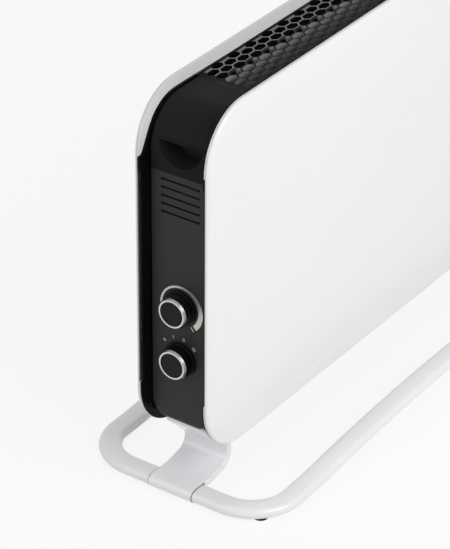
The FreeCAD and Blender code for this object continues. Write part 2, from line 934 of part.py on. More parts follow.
def thermostat_scale():
    """Bright crescent round the thermostat knob, wider towards its hot end, and a bar just past that end."""
    start = vec(face_x, 0, thermostat_z)
    middle = start - y_axis * scale_shift - z_axis * scale_drop
    ring = rod(middle, -x_axis, scale_thickness, 2 * scale_radius)
    inner = hole(start, -x_axis, scale_thickness, 2 * scale_inner)
    centre = start + x_axis * overshoot
    wedge = [centre]
    steps = 4
    for i in range(steps + 1):
        angle = math.radians(scale_end + (360 + scale_start - scale_end) * i / steps)
        reach = 2 * scale_radius
        wedge.append(centre + vec(0, -reach * math.sin(angle), reach * math.cos(angle)))
    gap_run = x_axis * -(scale_thickness + 2 * overshoot)
    gap = Part.Face(Part.makePolygon(wedge + wedge[:1])).extrude(gap_run)
    half = scale_bar_width / 2
    bar_low = thermostat_z + scale_bar_start
    bar = box(face_x - scale_thickness, face_x, -half, half, bar_low, bar_low + scale_bar_length)
    return Part.makeCompound([ring.cut([inner, gap]), bar.rotated(start, x_axis, scale_bar_angle)])


def thermal_cutout():
    """Safety cut-out on the cool side of the control end's partition."""
    z = shield_top - cutout_drop
    body = rod(vec(partition_outside, 0, z), -x_axis, cutout_height, cutout)
    blade_end = partition_outside - cutout_height
    y = blade_offset - blade_thickness / 2
    half = blade_width / 2
    blade = box(blade_end - blade_length, blade_end, y, y + blade_thickness, z - half, z + half)
    return fuse([body] + both_sides([blade]))


def terminal_block():
    """Mains terminals on the tray beside the gland, with a row of screw wells."""
    half = block_width / 2
    body = box(block_x, block_x + block_length, block_offset - half, block_offset + half,
               tray_top, tray_top + block_height)
    wells = []
    for i in range(terminal_count):
        x = block_x + block_length * (i + 0.5) / terminal_count
        for y in (block_offset - half / 2, block_offset + half / 2):
            wells.append(rod(vec(x, y, well_z), z_axis, well_depth + overshoot, well_bore))
    return body.cut(wells)


def bend_room(points, i):
    """Longest stretch of its two runs that the bend at one point of a wire may take."""
    before = points[i].distanceToPoint(points[i - 1])
    after = points[i].distanceToPoint(points[i + 1])
    if i > 1:
        before /= 2
    if i + 2 < len(points):
        after /= 2
    return min(before, after) * wire_bend_room


def tube_along(points, diameter, bend):
    """Round wire along straight runs joined by arcs, which are tighter where a run is short."""
    edges = []
    enter = points[0]
    for i in range(1, len(points) - 1):
        back = (points[i - 1] - points[i]).normalize()
        ahead = (points[i + 1] - points[i]).normalize()
        half = back.getAngle(ahead) / 2
        reach = min(bend / math.tan(half), bend_room(points, i))
        radius = reach * math.tan(half)
        crest = points[i] + (back + ahead).normalize() * (radius / math.sin(half) - radius)
        a = points[i] + back * reach
        b = points[i] + ahead * reach
        edges += [Part.LineSegment(enter, a).toShape(), Part.Arc(a, crest, b).toShape()]
        enter = b
    edges.append(Part.LineSegment(enter, points[-1]).toShape())
    path = Part.Wire(edges)
    start = (points[1] - points[0]).normalize()
    section = Part.Wire(Part.makeCircle(diameter / 2, points[0], start))
    return path.makePipeShell([section], True, False)


def wiring():
    """Wires from the terminals through the controls to the elements, and back along the tray."""
    low, high = element_heights
    selector_back = plate_inside + selector_length
    thermostat_back = plate_inside + thermostat_length
    well_y = block_offset + block_width / 4
    well_x = block_x + block_length * (terminal_count - 0.5) / terminal_count
    cutout_z = shield_top - cutout_drop
    blade_x = partition_outside - cutout_height - blade_length
    lane = (selector_back + rod_end) / 2
    turn_x = wire_bend * 2 - rod_end
    pair = element_rod / 4
    feed_z = selector_z - selector_height / 4
    link_z = selector_z + selector_height / 4
    drop_z = selector_z + wire_bend
    side = selector_width / 4
    out_z = thermostat_z + thermostat_size / 4
    runs = [
        [vec(well_x, well_y, well_z), vec(well_x, well_y, feed_z), vec(selector_back, well_y, feed_z)],
        [vec(selector_back, side, link_z), vec(lane, side, link_z),
         vec(lane, side, thermostat_z), vec(thermostat_back, side, thermostat_z)],
        [vec(thermostat_back, blade_offset, out_z), vec(lane, blade_offset, out_z),
         vec(lane, blade_offset, cutout_z), vec(blade_x, blade_offset, cutout_z)],
        [vec(blade_x, -blade_offset, cutout_z), vec(lane, -blade_offset, cutout_z),
         vec(lane, -blade_offset, high), vec(rod_end, -blade_offset, high)],
        [vec(selector_back, 0, drop_z), vec(lane, 0, drop_z), vec(lane, 0, low), vec(rod_end, 0, low)],
        [vec(block_x + block_length, block_offset, wire_z), vec(turn_x, block_offset, wire_z),
         vec(turn_x, block_offset, low), vec(turn_x, -pair, low), vec(-rod_end, -pair, low)],
        [vec(-rod_end, pair, low), vec(turn_x, pair, low),
         vec(turn_x, pair, high), vec(-rod_end, pair, high)],
    ]
    return Part.makeCompound([tube_along(run, wire, wire_bend) for run in runs])


def cable_gland():
    """Collar and neck that the mains lead would come through."""
    start = vec(gland_x, gland_offset, gland_low)
    collar = rod(start, z_axis, gland_collar_height, gland_collar)
    run = gland_collar_height + plate + gland_nut_height + gland_neck_end
    neck = rod(start, z_axis, run, gland_neck)
    return fuse([collar, neck]).cut(hole(start, z_axis, run, gland_bore))


def gland_nut():
    start = vec(gland_x, gland_offset, tray_top)
    nut = rod(start, z_axis, gland_nut_height, gland_collar)
    return nut.cut(hole(start, z_axis, gland_nut_height, gland_neck + 2 * screw_gap))


def oval(width, height, centre_x, centre_z, y):
    """Flattened tube section with slightly crowned top and bottom."""
    half_w = width / 2
    half_h = height / 2
    shoulder = half_h - tube_crown
    flat = half_w - tube_flank * height / tube_height

    def at(u, v):
        return vec(centre_x + u, y, centre_z + v)

    edges = [
        Part.Arc(at(-flat, shoulder), at(0, half_h), at(flat, shoulder)).toShape(),
        Part.Arc(at(flat, shoulder), at(half_w, 0), at(flat, -shoulder)).toShape(),
        Part.Arc(at(flat, -shoulder), at(0, -half_h), at(-flat, -shoulder)).toShape(),
        Part.Arc(at(-flat, -shoulder), at(-half_w, 0), at(-flat, shoulder)).toShape(),
    ]
    return Part.Face(Part.Wire(edges))


def rail_moves(start_y):
    """From a bracket's side, round the corner and up over half the rail's arch."""
    corner_y = -(ring_half_depth - ring_bend)
    corner_x = ring_x + ring_bend
    span = -corner_x
    climb = 2 * math.atan(rail_rise / span)
    lead_radius = rail_lead / math.sin(climb)
    crest_radius = (span - rail_lead) / math.sin(climb)
    degrees = math.degrees(climb)
    return [
        (vec(0, corner_y - start_y, 0),),
        (vec(corner_x, corner_y, 0), vec(0, 0, 1), 90),
        (vec(corner_x, 0, tube_z + lead_radius), vec(0, -1, 0), degrees),
        (vec(0, 0, tube_z + rail_rise - crest_radius), vec(0, 1, 0), degrees),
    ]


def half_rail(inset):
    start_y = -bracket_half_width
    section = oval(tube_width - 2 * inset, tube_height - 2 * inset, ring_x, tube_z, start_y)
    return swept(section, rail_moves(start_y))


def front_rail():
    """Bent tube: two corners and a long rail that arches up between them."""
    outer = half_rail(0)
    bore = half_rail(tube_wall)
    outer += [mirrored(s) for s in outer]
    bore += [mirrored(s) for s in bore]
    front_points = [(x, y) for x, y in rail_screw_points() if y < 0]
    holes = [rod(vec(x, y, 0), z_axis, tube_z, screw_hole) for x, y in front_points]
    return fuse(outer).cut(fuse(bore)).cut(holes)


def rail_screw_points():
    y = bracket_half_width + spigot_length / 2
    return [(sx * ring_x, sy * y) for sx in (1, -1) for sy in (1, -1)]


def bracket_screw_points():
    x = (plate_inside + left + tab_reach) / 2
    return [(x, -bracket_screw_offset), (x, bracket_screw_offset)]


def side_rims(body):
    """Edges along both sides of a bracket's piece."""
    return [e for e in body.Edges if abs(abs(e.CenterOfMass.y) - bracket_half_width) < tolerance]


def bracket():
    """Cast foot bracket: a sleeve-like block with spigots, a C-shaped leg and a screw tab."""
    width = 2 * bracket_half_width
    place = in_xz(-bracket_half_width)
    along = vec(0, width, 0)
    leg_z = tube_z + tube_height / 2 + bracket_proud - bracket_plate / 2
    knee_x = ring_x + bracket_leg_run
    elbow_x = left + bracket_back + bracket_plate
    elbow_z = leg_z + (elbow_x - knee_x) * bracket_slope
    tab_z = (tab_top + tab_bottom) / 2
    leg = [
        (ring_x, leg_z, 0),
        (knee_x, leg_z, bracket_foot_bend),
        (elbow_x, elbow_z, bracket_bend),
        (left + tab_nose + bracket_plate / 2, tab_z, 0),
    ]
    tab = rectangle(left + tab_nose, left + tab_reach, tab_bottom, tab_top)
    tab[0] = (left + tab_nose, tab_bottom, tab_round)
    tab[3] = (left + tab_nose, tab_top, tab_round)
    proud = 2 * bracket_proud
    block = oval(tube_width + proud, tube_height + proud, ring_x, tube_z, -bracket_half_width).extrude(along)
    block = block.makeFillet(bracket_seam_edge, side_rims(block))
    inset = tube_wall + spigot_gap
    spigot_y = -bracket_half_width - spigot_length
    spigot = oval(tube_width - 2 * inset, tube_height - 2 * inset, ring_x, tube_z, spigot_y)
    spigots = spigot.extrude(vec(0, width + 2 * spigot_length, 0))
    plates = fuse([strip(leg, bracket_plate, place, along), prism(tab, place, along)])
    body = fuse([block, plates.makeFillet(bracket_edge, side_rims(plates)), spigots])
    cuts = []
    for x, y in bracket_screw_points():
        cuts.append(hole(vec(x, y, tab_bottom), z_axis, bracket_plate, bracket_hole))
    for x, y in rail_screw_points():
        if x < 0:
            cuts.append(hole(vec(x, y, pad_height), z_axis, rail_screw_length, screw_hole))
    return body.cut(cuts)


def foot_pads():
    """Rubber pads under the ring's four corners, shaped to the tube."""
    diagonal = ring_bend * math.sqrt(0.5)
    x = ring_x + ring_bend - diagonal
    y = -(ring_half_depth - ring_bend) - diagonal
    tube = half_rail(0)[1]
    pad = rod(vec(x, y, 0), z_axis, tube_z, pad_diameter).cut(tube)
    lowest = min(pad.Solids, key=lambda s: s.CenterOfMass.z)
    pads = both_sides([lowest])
    return Part.makeCompound(pads + [mirrored(p) for p in pads])


def pan_screw(start, axis, length, diameter, head, head_height):
    """Round-headed screw. start is under the head and axis points along the shank."""
    shank = rod(start, axis, length, diameter)
    cap = rod(start - axis * head_height, axis, head_height, head)
    socket_start = start - axis * (head_height + overshoot)
    socket_run = head_height * socket_depth_share + overshoot
    socket = rod(socket_start, axis, socket_run, head * socket_width_share)
    return fuse([shank, cap]).cut(socket)


def end_cap_screws():
    screws = [
        pan_screw(vec(plate_inside, y, z), -x_axis, cap_screw_length, screw, screw_head, screw_head_height)
        for y, z in boss_points()
    ]
    return Part.makeCompound(screws + [mirrored(s) for s in screws])


def handle_screws():
    heads = [vec(plate_inside, y, handle_boss_z) for y in (-handle_boss_offset, handle_boss_offset)]
    screws = [
        pan_screw(head, -x_axis, cap_screw_length, screw, screw_head, screw_head_height)
        for head in heads
    ]
    return Part.makeCompound(screws + [mirrored(s) for s in screws])


def rear_panel_screws():
    y = shell_inside + sheet
    screws = [
        pan_screw(vec(x, y, z), -y_axis, rear_screw_length, screw, screw_head, screw_head_height)
        for x, z in ear_points()
    ]
    return Part.makeCompound(screws)


def front_panel_nuts():
    """Nuts on the front shell's studs, inside the end plates' ears."""
    nuts = []
    for x, z in ear_points():
        start = vec(x, -shell_inside + plate, z)
        nut = rod(start, y_axis, panel_nut_height, panel_nut)
        nuts.append(nut.cut(hole(start, y_axis, panel_nut_height, screw_hole)))
    return Part.makeCompound(nuts)


def bracket_screws():
    length = bracket_plate + plate + bracket_screw_tip
    head = bracket_screw_head
    height = bracket_screw_head_height
    screws = [
        pan_screw(vec(x, y, tab_bottom), z_axis, length, bracket_screw, head, height)
        for x, y in bracket_screw_points()
    ]
    return Part.makeCompound(screws + [mirrored(s) for s in screws])


def rail_screws():
    """Headless screws that lock the rails on the brackets' spigots."""
    screws = []
    for x, y in rail_screw_points():
        start = vec(x, y, pad_height + rail_screw_sink)
        body = rod(start, z_axis, rail_screw_length, screw)
        socket_run = rail_socket_depth + overshoot
        screws.append(body.cut(rod(start - z_axis * overshoot, z_axis, socket_run, rail_socket)))
    return Part.makeCompound(screws)


controls = (thermostat_z, selector_z)
thermostat_half = thermostat_size / 2
element_low, element_high = element_heights
handle = corner_handle()
frame = end_frame()
wall = duct_partition()
foot_bracket = bracket()
rail = front_rail()

nodes = {
    "front_panel": front_panel(),
    "rear_panel": rear_panel(),
    "top_grille": top_grille(),
    "left_corner_handle": handle,
    "right_corner_handle": mirrored(handle),
    "left_end_cap": end_cap(controls),
    "right_end_cap": mirrored(end_cap(())),
    "left_end_frame": frame,
    "right_end_frame": mirrored(frame),
    "left_end_plate": end_plate(controls),
    "right_end_plate": mirrored(end_plate(())),
    "inlet_tray": inlet_tray(),
    "left_partition": wall,
    "right_partition": mirrored(wall),
    "front_heat_shield": heat_shield(-1),
    "rear_heat_shield": heat_shield(1),
    "lower_element_fins": element_fins(element_low),
    "lower_element_rod": element_core(element_low),
    "upper_element_fins": element_fins(element_high),
    "upper_element_rod": element_core(element_high),
    "element_bushes": element_bushes(),
    "thermostat_body": control_body(thermostat_z, thermostat_length, thermostat_half, thermostat_half),
    "thermostat_nut": control_nut(thermostat_z),
    "thermostat_shaft": control_shaft(thermostat_z),
    "thermostat_knob": control_knob(thermostat_z),
    "thermostat_knob_ring": knob_ring(thermostat_z),
    "thermostat_knob_disc": knob_disc(thermostat_z),
    "thermostat_scale": thermostat_scale(),
    "selector_body": control_body(selector_z, selector_length, selector_width / 2, selector_height / 2),
    "selector_nut": control_nut(selector_z),
    "selector_shaft": control_shaft(selector_z),
    "selector_knob": control_knob(selector_z),
    "selector_knob_ring": knob_ring(selector_z),
    "selector_knob_disc": knob_disc(selector_z),
    "thermal_cutout": thermal_cutout(),
    "terminal_block": terminal_block(),
    "wiring": wiring(),
    "cable_gland": cable_gland(),
    "gland_nut": gland_nut(),
    "front_rail": rail,
    "rear_rail": rail.mirror(vec(0, 0, 0), y_axis),
    "left_bracket": foot_bracket,
    "right_bracket": mirrored(foot_bracket),
    "foot_pads": foot_pads(),
    "bracket_screws": bracket_screws(),
    "rail_screws": rail_screws(),
    "rear_panel_screws": rear_panel_screws(),
    "front_panel_nuts": front_panel_nuts(),
    "end_cap_screws": end_cap_screws(),
    "handle_screws": handle_screws(),
}

os.makedirs("parts", exist_ok=True)
for name, shape in nodes.items():
    shape.exportStep("parts/" + name + ".step")
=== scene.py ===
import bpy
import bmesh
import math
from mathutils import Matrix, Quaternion, Vector


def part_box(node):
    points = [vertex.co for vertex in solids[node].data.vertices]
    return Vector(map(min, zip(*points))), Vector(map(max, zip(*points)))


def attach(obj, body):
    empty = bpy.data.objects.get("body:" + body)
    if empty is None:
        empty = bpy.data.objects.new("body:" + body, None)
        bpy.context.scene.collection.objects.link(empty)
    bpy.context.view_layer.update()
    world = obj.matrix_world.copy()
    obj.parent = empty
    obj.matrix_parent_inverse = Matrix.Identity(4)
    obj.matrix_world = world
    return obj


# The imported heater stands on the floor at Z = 0, with its control end towards -X and its front towards -Y.
# Every solid is already in its place, in metres.
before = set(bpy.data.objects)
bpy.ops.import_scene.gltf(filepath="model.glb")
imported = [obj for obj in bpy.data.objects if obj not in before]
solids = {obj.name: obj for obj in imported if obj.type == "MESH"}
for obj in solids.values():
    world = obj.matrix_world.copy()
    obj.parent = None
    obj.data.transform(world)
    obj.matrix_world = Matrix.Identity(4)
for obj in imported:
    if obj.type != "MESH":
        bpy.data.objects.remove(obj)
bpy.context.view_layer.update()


# Steel carcass: two bent end plates carry everything, with a slotted tray across the bottom and two upright
# partitions that shut the hot duct off from the ends. All are galvanised sheet, punched and folded,
# and the zinc has frozen into pale and dark flakes.
def linear(red, green, blue):
    """Colour from 0 to 255 as the shader takes it."""
    levels = []
    for level in (red, green, blue):
        share = level / 255
        levels.append(share / 12.92 if share <= 0.04045 else ((share + 0.055) / 1.055) ** 2.4)
    return (*levels, 1.0)


class Finish:
    """One material with its shader, and short ways to add and join nodes."""

    def __init__(self, name, roughness, metallic=0.0, shine=0.5):
        self.material = bpy.data.materials.new(name)
        self.material.use_nodes = True
        self.tree = self.material.node_tree
        self.shader = self.tree.nodes["Principled BSDF"]
        self.shader.inputs["Roughness"].default_value = roughness
        self.shader.inputs["Metallic"].default_value = metallic
        self.shader.inputs["Specular IOR Level"].default_value = shine

    def add(self, kind, **values):
        """Adds a node and sets its values."""
        node = self.tree.nodes.new(kind)
        for key, value in values.items():
            setattr(node, key, value)
        return node

    def join(self, output, socket):
        """Leads one node's output to another's input."""
        self.tree.links.new(output, socket)

    def place(self):
        """Output with a point's place on the heater."""
        return self.add("ShaderNodeTexCoord").outputs["Object"]

    def group(self, tree, **values):
        """Places a shared effect with its own values."""
        node = self.add("ShaderNodeGroup", node_tree=tree)
        for key, value in values.items():
            node.inputs[key.replace("_", " ")].default_value = value
        return node

    def two_colours(self, mask, low, high):
        """Base colour between two colours, by a mask that changes over the surface."""
        ramp = self.add("ShaderNodeValToRGB")
        ramp.color_ramp.elements[0].color = low
        ramp.color_ramp.elements[1].color = high
        self.join(mask, ramp.inputs["Fac"])
        self.join(ramp.outputs["Color"], self.shader.inputs["Base Color"])

    def uneven_gloss(self, mask, low, high):
        """Roughness between two values, by a mask."""
        spread = self.add("ShaderNodeMapRange")
        spread.inputs["To Min"].default_value = low
        spread.inputs["To Max"].default_value = high
        self.join(mask, spread.inputs["Value"])
        self.join(spread.outputs["Result"], self.shader.inputs["Roughness"])

    def relief(self, height, depth):
        """Bump whose full height is depth metres."""
        bump = self.add("ShaderNodeBump")
        bump.inputs["Strength"].default_value = 1.0
        bump.inputs["Distance"].default_value = depth
        self.join(height, bump.inputs["Height"])
        self.join(bump.outputs["Normal"], self.shader.inputs["Normal"])

    def cover(self, *names):
        """Gives the finish to solids of the frame."""
        for name in names:
            slots = solids[name].data.materials
            slots.clear()
            slots.append(self.material)


def effect(name, inputs, outputs):
    """Empty shared effect with named number sockets, and its two end nodes."""
    tree = bpy.data.node_groups.new(name, "ShaderNodeTree")
    for label, value in inputs.items():
        socket = tree.interface.new_socket(label, in_out="INPUT", socket_type="NodeSocketFloat")
        socket.default_value = value
    for label in outputs:
        tree.interface.new_socket(label, in_out="OUTPUT", socket_type="NodeSocketFloat")
    return tree, tree.nodes.new("NodeGroupInput"), tree.nodes.new("NodeGroupOutput")


def fine_relief():
    """Grain of a moulded or sprayed surface: a fine height, and a slow tone from patch to patch."""
    tree, start, end = effect("fine_relief", {"Scale": 900.0, "Patch Scale": 14.0}, ["Height", "Tone"])
    place = tree.nodes.new("ShaderNodeTexCoord")
    for label, out in (("Scale", "Height"), ("Patch Scale", "Tone")):
        noise = tree.nodes.new("ShaderNodeTexNoise")
        noise.inputs["Detail"].default_value = 3.0
        noise.inputs["Roughness"].default_value = 0.55
        tree.links.new(place.outputs["Object"], noise.inputs["Vector"])
        tree.links.new(start.outputs[label], noise.inputs["Scale"])
        tree.links.new(noise.outputs["Fac"], end.inputs[out])
    return tree


grain = fine_relief()

zinc = Finish("galvanised_steel", roughness=0.4, metallic=1.0)
flakes = zinc.add("ShaderNodeTexVoronoi")
flakes.inputs["Scale"].default_value = 130.0
zinc.join(zinc.place(), flakes.inputs["Vector"])
flake_tone = zinc.add("ShaderNodeSeparateColor")
zinc.join(flakes.outputs["Color"], flake_tone.inputs["Color"])
zinc.two_colours(flake_tone.outputs["Red"], linear(150, 153, 155), linear(198, 200, 202))
zinc.uneven_gloss(flake_tone.outputs["Green"], low=0.3, high=0.5)
zinc_grain = zinc.group(grain, Scale=2500.0)
zinc.relief(zinc_grain.outputs["Height"], depth=0.00002)
zinc.cover("left_end_plate", "right_end_plate", "inlet_tray", "left_partition", "right_partition")


# Heat shields: two thin steel walls make the hot duct and fold out under the grille's edges.
# They are coloured dull black as painted shade, so the duct looks black through the grille.
shield = Finish("shield_black_painted_shade", roughness=0.75, shine=0.25)
shield_grain = shield.group(grain, Scale=1800.0, Patch_Scale=20.0)
shield.two_colours(shield_grain.outputs["Tone"], linear(17, 17, 17), linear(27, 27, 26))
shield.relief(shield_grain.outputs["Height"], depth=0.00003)
shield.cover("front_heat_shield", "rear_heat_shield")


# Heating elements: steel sheathed rods, each pressed into a crossed aluminium fin and held in ceramic bushes.
# The fins are extruded and the rods drawn, so both have fine lines along X.
def draw_lines():
    """Fine straight lines along X, as on drawn or extruded metal."""
    tree, start, end = effect("draw_lines", {"Scale": 700.0}, ["Height"])
    place = tree.nodes.new("ShaderNodeTexCoord")
    stretch = tree.nodes.new("ShaderNodeMapping")
    stretch.inputs["Scale"].default_value = (0.01, 1.0, 1.0)
    noise = tree.nodes.new("ShaderNodeTexNoise")
    noise.inputs["Detail"].default_value = 2.0
    tree.links.new(place.outputs["Object"], stretch.inputs["Vector"])
    tree.links.new(stretch.outputs["Vector"], noise.inputs["Vector"])
    tree.links.new(start.outputs["Scale"], noise.inputs["Scale"])
    tree.links.new(noise.outputs["Fac"], end.inputs["Height"])
    return tree


drawn = draw_lines()


def drawn_metal(name, low, high, roughness):
    """Bare metal with draw lines along X, a little rougher on their crests than between them."""
    metal = Finish(name, roughness, metallic=1.0)
    lines = metal.group(drawn, Scale=900.0)
    metal.two_colours(lines.outputs["Height"], low, high)
    metal.uneven_gloss(lines.outputs["Height"], low=roughness - 0.08, high=roughness + 0.12)
    metal.relief(lines.outputs["Height"], depth=0.00002)
    return metal


fin = drawn_metal("fin_aluminium", linear(140, 140, 140), linear(176, 175, 172), roughness=0.42)
fin.cover("lower_element_fins", "upper_element_fins")
rod = drawn_metal("rod_steel", linear(128, 126, 124), linear(160, 158, 156), roughness=0.35)
rod.cover("lower_element_rod", "upper_element_rod", "thermostat_shaft", "selector_shaft")

steatite = Finish("bush_ceramic", roughness=0.6)
steatite_grain = steatite.group(grain, Scale=1600.0, Patch_Scale=90.0)
steatite.two_colours(steatite_grain.outputs["Tone"], linear(214, 207, 192), linear(232, 226, 212))
steatite.relief(steatite_grain.outputs["Height"], depth=0.00003)
steatite.cover("element_bushes")


# Controls behind the control end: thermostat and selector blocks on the end plate, each held by a brass nut,
# with the cut-out, the terminal block and the gland for the lead. The blocks are dark thermoset mouldings.
def moulding(name, dark, pale, roughness, grain_scale, grain_depth, shine=0.5):
    """Moulded plastic: fine spark-eroded grain, with a slow drift in tone and gloss."""
    plastic = Finish(name, roughness, shine=shine)
    texture = plastic.group(grain, Scale=grain_scale, Patch_Scale=18.0)
    plastic.two_colours(texture.outputs["Tone"], dark, pale)
    plastic.uneven_gloss(texture.outputs["Tone"], low=roughness - 0.05, high=roughness + 0.05)
    plastic.relief(texture.outputs["Height"], grain_depth)
    return plastic


block = moulding("control_thermoset", linear(38, 34, 31), linear(52, 46, 42),
                 roughness=0.5, grain_scale=1500.0, grain_depth=0.00003)
block.cover("thermostat_body", "selector_body", "thermal_cutout", "terminal_block")
gland = moulding("gland_nylon", linear(28, 28, 28), linear(36, 36, 36),
                 roughness=0.45, grain_scale=1800.0, grain_depth=0.00002)
gland.cover("cable_gland", "gland_nut")
brass = drawn_metal("control_brass", linear(178, 148, 84), linear(206, 176, 108), roughness=0.32)
brass.cover("thermostat_nut", "selector_nut")


# Wiring: glass-fibre sleeved wires from the terminals through the controls to the elements.
# The sleeve is an off-white braid, so its surface has a fine diagonal weave.
sleeve = Finish("wire_sleeve", roughness=0.85)
braid = sleeve.add("ShaderNodeTexWave", wave_type="BANDS", bands_direction="DIAGONAL")
braid.inputs["Scale"].default_value = 420.0
braid.inputs["Distortion"].default_value = 1.5
sleeve.join(sleeve.place(), braid.inputs["Vector"])
sleeve.two_colours(braid.outputs["Fac"], linear(186, 176, 154), linear(226, 218, 200))
sleeve.relief(braid.outputs["Fac"], depth=0.0002)
sleeve.cover("wiring")


# Liner frames: a black moulded cheek along each shell's edge and a floor that the end cap seats on.
# They clip between the end plate and the shells, and are the darkest of the black mouldings.
liner = moulding("liner_black", linear(11, 11, 12), linear(15, 15, 16),
                 roughness=0.45, grain_scale=1400.0, grain_depth=0.00002, shine=0.1)
liner.cover("left_end_frame", "right_end_frame")


# End caps: flat moulded plates with five vent slots, screwed from inside. Their face is dark grey with
# a fine even grain, a little paler than the corner mouldings above.
cap = moulding("cap_grey", linear(43, 43, 42), linear(47, 47, 46),
               roughness=0.5, grain_scale=1300.0, grain_depth=0.00004, shine=0.2)
cap.cover("left_end_cap", "right_end_cap")


# Corner mouldings: smooth satin black pieces that carry the casing's rounded top corners and the finger
# recesses. Each is screwed to its end plate and has a ledge under the grille's end.
# A recess is painted a little paler inside, as light that lifts the shade in it.
recess_mouth = 0.3118
recess_roof = 0.3863


def zone_mask():
    """Mask of 1 within limits on the distance from the heater's middle, along X and Y, and on the height."""
    limits = {"X Least": -1.0, "X Most": 1.0, "Y Least": -1.0, "Z Most": 1.0}
    tree, start, end = effect("zone_mask", limits, ["Mask"])
    place = tree.nodes.new("ShaderNodeTexCoord")
    axes = tree.nodes.new("ShaderNodeSeparateXYZ")
    tree.links.new(place.outputs["Object"], axes.inputs["Vector"])
    inside = None
    for label in limits:
        axis, bound = label.split()
        away = tree.nodes.new("ShaderNodeMath")
        away.operation = "ABSOLUTE"
        tree.links.new(axes.outputs[axis], away.inputs[0])
        test = tree.nodes.new("ShaderNodeMath")
        test.operation = "LESS_THAN" if bound == "Most" else "GREATER_THAN"
        tree.links.new(away.outputs["Value"], test.inputs[0])
        tree.links.new(start.outputs[label], test.inputs[1])
        both = tree.nodes.new("ShaderNodeMath")
        both.operation = "MULTIPLY"
        both.inputs[0].default_value = 1.0
        if inside:
            tree.links.new(inside, both.inputs[0])
        tree.links.new(test.outputs["Value"], both.inputs[1])
        inside = both.outputs["Value"]
    tree.links.new(inside, end.inputs["Mask"])
    return tree


def tint(finish, mask, colour):
    """Turns a finish's base colour into another one where a mask is 1."""
    base = finish.shader.inputs["Base Color"]
    mix = finish.add("ShaderNodeMix", data_type="RGBA")
    mix.inputs["B"].default_value = colour
    finish.join(base.links[0].from_socket, mix.inputs["A"])
    finish.join(mask, mix.inputs["Factor"])
    finish.join(mix.outputs["Result"], base)


zone = zone_mask()

corner = moulding("corner_black", linear(33, 33, 34), linear(37, 37, 38),
                  roughness=0.42, grain_scale=1600.0, grain_depth=0.000015, shine=0.02)
recess_painted_light = corner.group(zone, X_Most=recess_mouth, Z_Most=recess_roof)
# Painted light: the inside of the finger recess is a paler grey, to lift its shade.
tint(corner, recess_painted_light.outputs["Mask"], linear(40, 40, 42))
corner.cover("left_corner_handle", "right_corner_handle")


# Outlet grille: one black honeycomb moulding that drops in between the corner mouldings and rests on their
# ledges. It is deep in front and shallow along the rear. Its upright walls are painted pale grey as light,
# fading to painted shade in front, and the tops of its walls along the rear carry a pale painted highlight.
# Each tone pairs a place, from 0 in front to 1 at the rear of the span, with a share of the pale grey.
tone_half_span = 0.04
painted_highlight_reach = 0.2285
top_painted_highlight = ((0.675, 0.0), (0.712, 0.6), (0.915, 0.6), (0.935, 0.0))
wall_painted_light = ((0.08, 0.12), (0.45, 0.42), (0.65, 1.0), (0.69, 0.0))
lying = 0.3
upright = 0.0


def split(finish, vector):
    """Outputs with a vector's X, Y and Z."""
    parts = finish.add("ShaderNodeSeparateXYZ")
    finish.join(vector, parts.inputs["Vector"])
    return parts.outputs


def facing(finish):
    """Outputs with the X, Y and Z of the way that the surface faces."""
    return split(finish, finish.add("ShaderNodeNewGeometry").outputs["Normal"])


def mask_between(finish, value, start, stop):
    """Mask that goes from 0 at start to 1 at stop."""
    spread = finish.add("ShaderNodeMapRange")
    spread.inputs["From Min"].default_value = start
    spread.inputs["From Max"].default_value = stop
    finish.join(value, spread.inputs["Value"])
    return spread.outputs["Result"]


def product(finish, first, second):
    """One mask times another."""
    times = finish.add("ShaderNodeMath", operation="MULTIPLY")
    finish.join(first, times.inputs[0])
    finish.join(second, times.inputs[1])
    return times.outputs["Value"]


def tone_along(finish, value, stops):
    """Grey that follows a value from 0 to 1, by pairs of place and level."""
    ramp = finish.add("ShaderNodeValToRGB")
    stop_list = ramp.color_ramp.elements
    for _ in stops[2:]:
        stop_list.new(0.5)
    for stop, (place, level) in zip(stop_list, stops):
        stop.position = place
        stop.color = (level, level, level, 1.0)
    finish.join(value, ramp.inputs["Fac"])
    return ramp.outputs["Color"]


comb = moulding("grille_black", linear(14, 14, 14), linear(18, 18, 18),
                roughness=0.45, grain_scale=1700.0, grain_depth=0.00002, shine=0.04)
comb_depth = mask_between(comb, split(comb, comb.place())["Y"], -tone_half_span, tone_half_span)
comb_highlight_middle = comb.group(zone, X_Most=painted_highlight_reach)
# Painted light: pale grey on the upright walls, fading to shade in front, and a painted highlight on the rear
# tops.
comb_painted_light = comb.add("ShaderNodeMix", data_type="FLOAT")
comb.join(mask_between(comb, facing(comb)["Z"], lying, upright), comb_painted_light.inputs["Factor"])
comb_painted_highlight = tone_along(comb, comb_depth, top_painted_highlight)
comb.join(product(comb, comb_painted_highlight, comb_highlight_middle.outputs["Mask"]), comb_painted_light.inputs["A"])
comb.join(tone_along(comb, comb_depth, wall_painted_light), comb_painted_light.inputs["B"])
tint(comb, comb_painted_light.outputs["Result"], linear(152, 152, 151))
comb.cover("top_grille")


# Knobs: hollow black mouldings pushed on the flatted shafts, each with a turned ring round a matt disc.
# The ring is metal with fine turning marks, and its bevel is painted a darker grey than its lip as shade.
# The disc has faint circles.
lip_facing = -0.97
bevel_facing = -0.85


